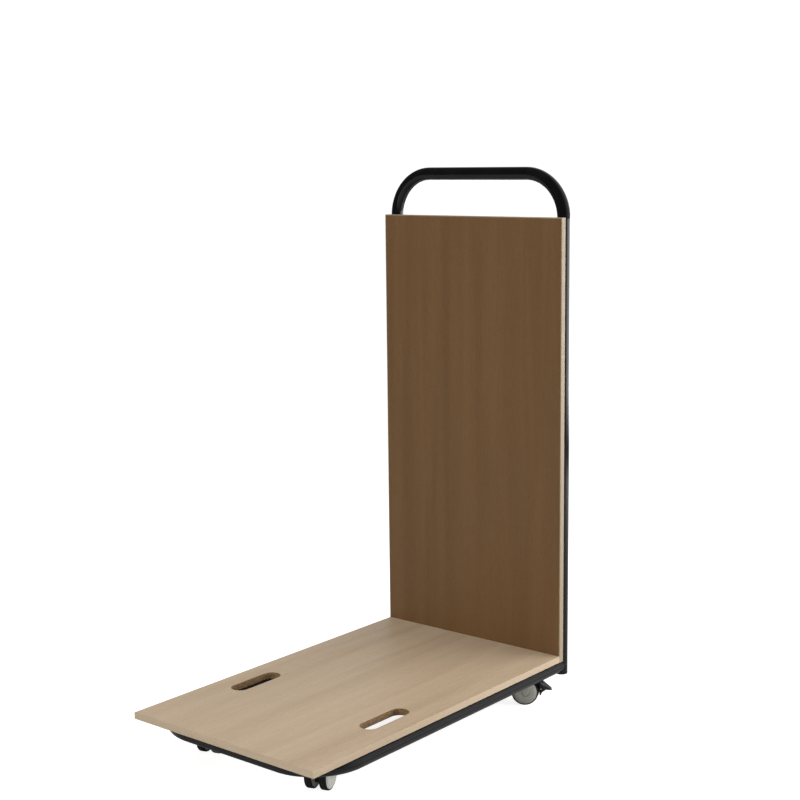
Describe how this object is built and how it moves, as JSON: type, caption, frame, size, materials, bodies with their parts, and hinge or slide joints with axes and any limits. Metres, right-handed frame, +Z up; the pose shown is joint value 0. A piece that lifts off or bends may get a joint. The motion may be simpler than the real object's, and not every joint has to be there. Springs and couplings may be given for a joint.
{
  "type": "stacking chair trolley",
  "caption": "Wheeled trolley for stacked chairs: flat wooden deck with locating slots, tall back panel, bent tube frame with push bar, twin-wheel swivel castors, rear foot brakes.",
  "frame": {"origin": "on the floor, under the middle of the overall footprint", "axes": "+X to the trolley's right, +Y to the handle end, +Z up"},
  "size_m": [0.51, 0.887, 1.229],
  "materials": {
    "beech_board": "satin",
    "edging": "satin",
    "black_tube": "gloss",
    "black_plastic": "satin",
    "brake_plastic": "satin",
    "wheel_disc": "satin",
    "tyre": "matte",
    "zinc_steel": "satin"
  },
  "bodies": {
    "frame": {"deck_board": "beech_board", "deck_front_edging": "edging", "deck_left_edging": "edging", "deck_right_edging": "edging", "back_panel": "beech_board", "panel_top_edging": "edging", "panel_left_edging": "edging", "panel_right_edging": "edging", "base_tube": "black_tube", "handle_tube": "black_tube", "rear_cross_tube": "black_tube", "tube_end_plugs": "black_plastic", "deck_screws": "zinc_steel", "panel_screws": "zinc_steel", "castor_nuts": "zinc_steel", "stem_clips": "zinc_steel", "front_left_castor_plate": "black_tube", "front_left_castor_stem": "zinc_steel", "front_right_castor_plate": "black_tube", "front_right_castor_stem": "zinc_steel", "rear_left_castor_plate": "black_tube", "rear_left_castor_stem": "zinc_steel", "rear_right_castor_plate": "black_tube", "rear_right_castor_stem": "zinc_steel"},
    "front_left_castor": {"front_left_castor_hood": "black_plastic", "front_left_castor_axle": "zinc_steel"},
    "front_left_outer_wheel": {"front_left_outer_disc": "wheel_disc", "front_left_outer_tyre": "tyre"},
    "front_left_inner_wheel": {"front_left_inner_disc": "wheel_disc", "front_left_inner_tyre": "tyre"},
    "front_right_castor": {"front_right_castor_hood": "black_plastic", "front_right_castor_axle": "zinc_steel"},
    "front_right_outer_wheel": {"front_right_outer_disc": "wheel_disc", "front_right_outer_tyre": "tyre"},
    "front_right_inner_wheel": {"front_right_inner_disc": "wheel_disc", "front_right_inner_tyre": "tyre"},
    "rear_left_castor": {"rear_left_castor_hood": "black_plastic", "rear_left_castor_axle": "zinc_steel", "rear_left_brake_pedal_pin": "zinc_steel"},
    "rear_left_outer_wheel": {"rear_left_outer_disc": "wheel_disc", "rear_left_outer_tyre": "tyre"},
    "rear_left_inner_wheel": {"rear_left_inner_disc": "wheel_disc", "rear_left_inner_tyre": "tyre"},
    "rear_left_brake": {"rear_left_brake_pedal": "brake_plastic"},
    "rear_right_castor": {"rear_right_castor_hood": "black_plastic", "rear_right_castor_axle": "zinc_steel", "rear_right_brake_pedal_pin": "zinc_steel"},
    "rear_right_outer_wheel": {"rear_right_outer_disc": "wheel_disc", "rear_right_outer_tyre": "tyre"},
    "rear_right_inner_wheel": {"rear_right_inner_disc": "wheel_disc", "rear_right_inner_tyre": "tyre"},
    "rear_right_brake": {"rear_right_brake_pedal": "brake_plastic"}
  },
  "joints": [
    {"name": "front_left_swivel", "type": "hinge", "parent": "frame", "child": "front_left_castor", "pos_m": [-0.156, -0.3295, 0.074], "axis": [0, 0, 1], "continuous": true},
    {"name": "front_left_outer_wheel_spin", "type": "hinge", "parent": "front_left_castor", "child": "front_left_outer_wheel", "pos_m": [-0.16316, -0.3087, 0.031], "axis": [0.9455, 0.3256, 0], "continuous": true},
    {"name": "front_left_inner_wheel_spin", "type": "hinge", "parent": "front_left_castor", "child": "front_left_inner_wheel", "pos_m": [-0.16316, -0.3087, 0.031], "axis": [0.9455, 0.3256, 0], "continuous": true},
    {"name": "front_right_swivel", "type": "hinge", "parent": "frame", "child": "front_right_castor", "pos_m": [0.156, -0.3295, 0.074], "axis": [0, 0, 1], "continuous": true},
    {"name": "front_right_outer_wheel_spin", "type": "hinge", "parent": "front_right_castor", "child": "front_right_outer_wheel", "pos_m": [0.14884, -0.3087, 0.031], "axis": [0.9455, 0.3256, 0], "continuous": true},
    {"name": "front_right_inner_wheel_spin", "type": "hinge", "parent": "front_right_castor", "child": "front_right_inner_wheel", "pos_m": [0.14884, -0.3087, 0.031], "axis": [0.9455, 0.3256, 0], "continuous": true},
    {"name": "rear_left_swivel", "type": "hinge", "parent": "frame", "child": "rear_left_castor", "pos_m": [-0.176, 0.3325, 0.074], "axis": [0, 0, 1], "continuous": true},
    {"name": "rear_left_outer_wheel_spin", "type": "hinge", "parent": "rear_left_castor", "child": "rear_left_outer_wheel", "pos_m": [-0.19357, 0.34574, 0.031], "axis": [0.6018, 0.7986, 0], "continuous": true},
    {"name": "rear_left_inner_wheel_spin", "type": "hinge", "parent": "rear_left_castor", "child": "rear_left_inner_wheel", "pos_m": [-0.19357, 0.34574, 0.031], "axis": [0.6018, 0.7986, 0], "continuous": true},
    {"name": "rear_left_brake_press", "type": "hinge", "parent": "rear_left_castor", "child": "rear_left_brake", "pos_m": [-0.22312, 0.36801, 0.037], "axis": [-0.6018, -0.7986, 0], "range_deg": [0, 14]},
    {"name": "rear_right_swivel", "type": "hinge", "parent": "frame", "child": "rear_right_castor", "pos_m": [0.176, 0.3325, 0.074], "axis": [0, 0, 1], "continuous": true},
    {"name": "rear_right_outer_wheel_spin", "type": "hinge", "parent": "rear_right_castor", "child": "rear_right_outer_wheel", "pos_m": [0.19357, 0.34574, 0.031], "axis": [0.6018, -0.7986, 0], "continuous": true},
    {"name": "rear_right_inner_wheel_spin", "type": "hinge", "parent": "rear_right_castor", "child": "rear_right_inner_wheel", "pos_m": [0.19357, 0.34574, 0.031], "axis": [0.6018, -0.7986, 0], "continuous": true},
    {"name": "rear_right_brake_press", "type": "hinge", "parent": "rear_right_castor", "child": "rear_right_brake", "pos_m": [0.22312, 0.36801, 0.037], "axis": [-0.6018, 0.7986, 0], "range_deg": [0, 14]}
  ]
}
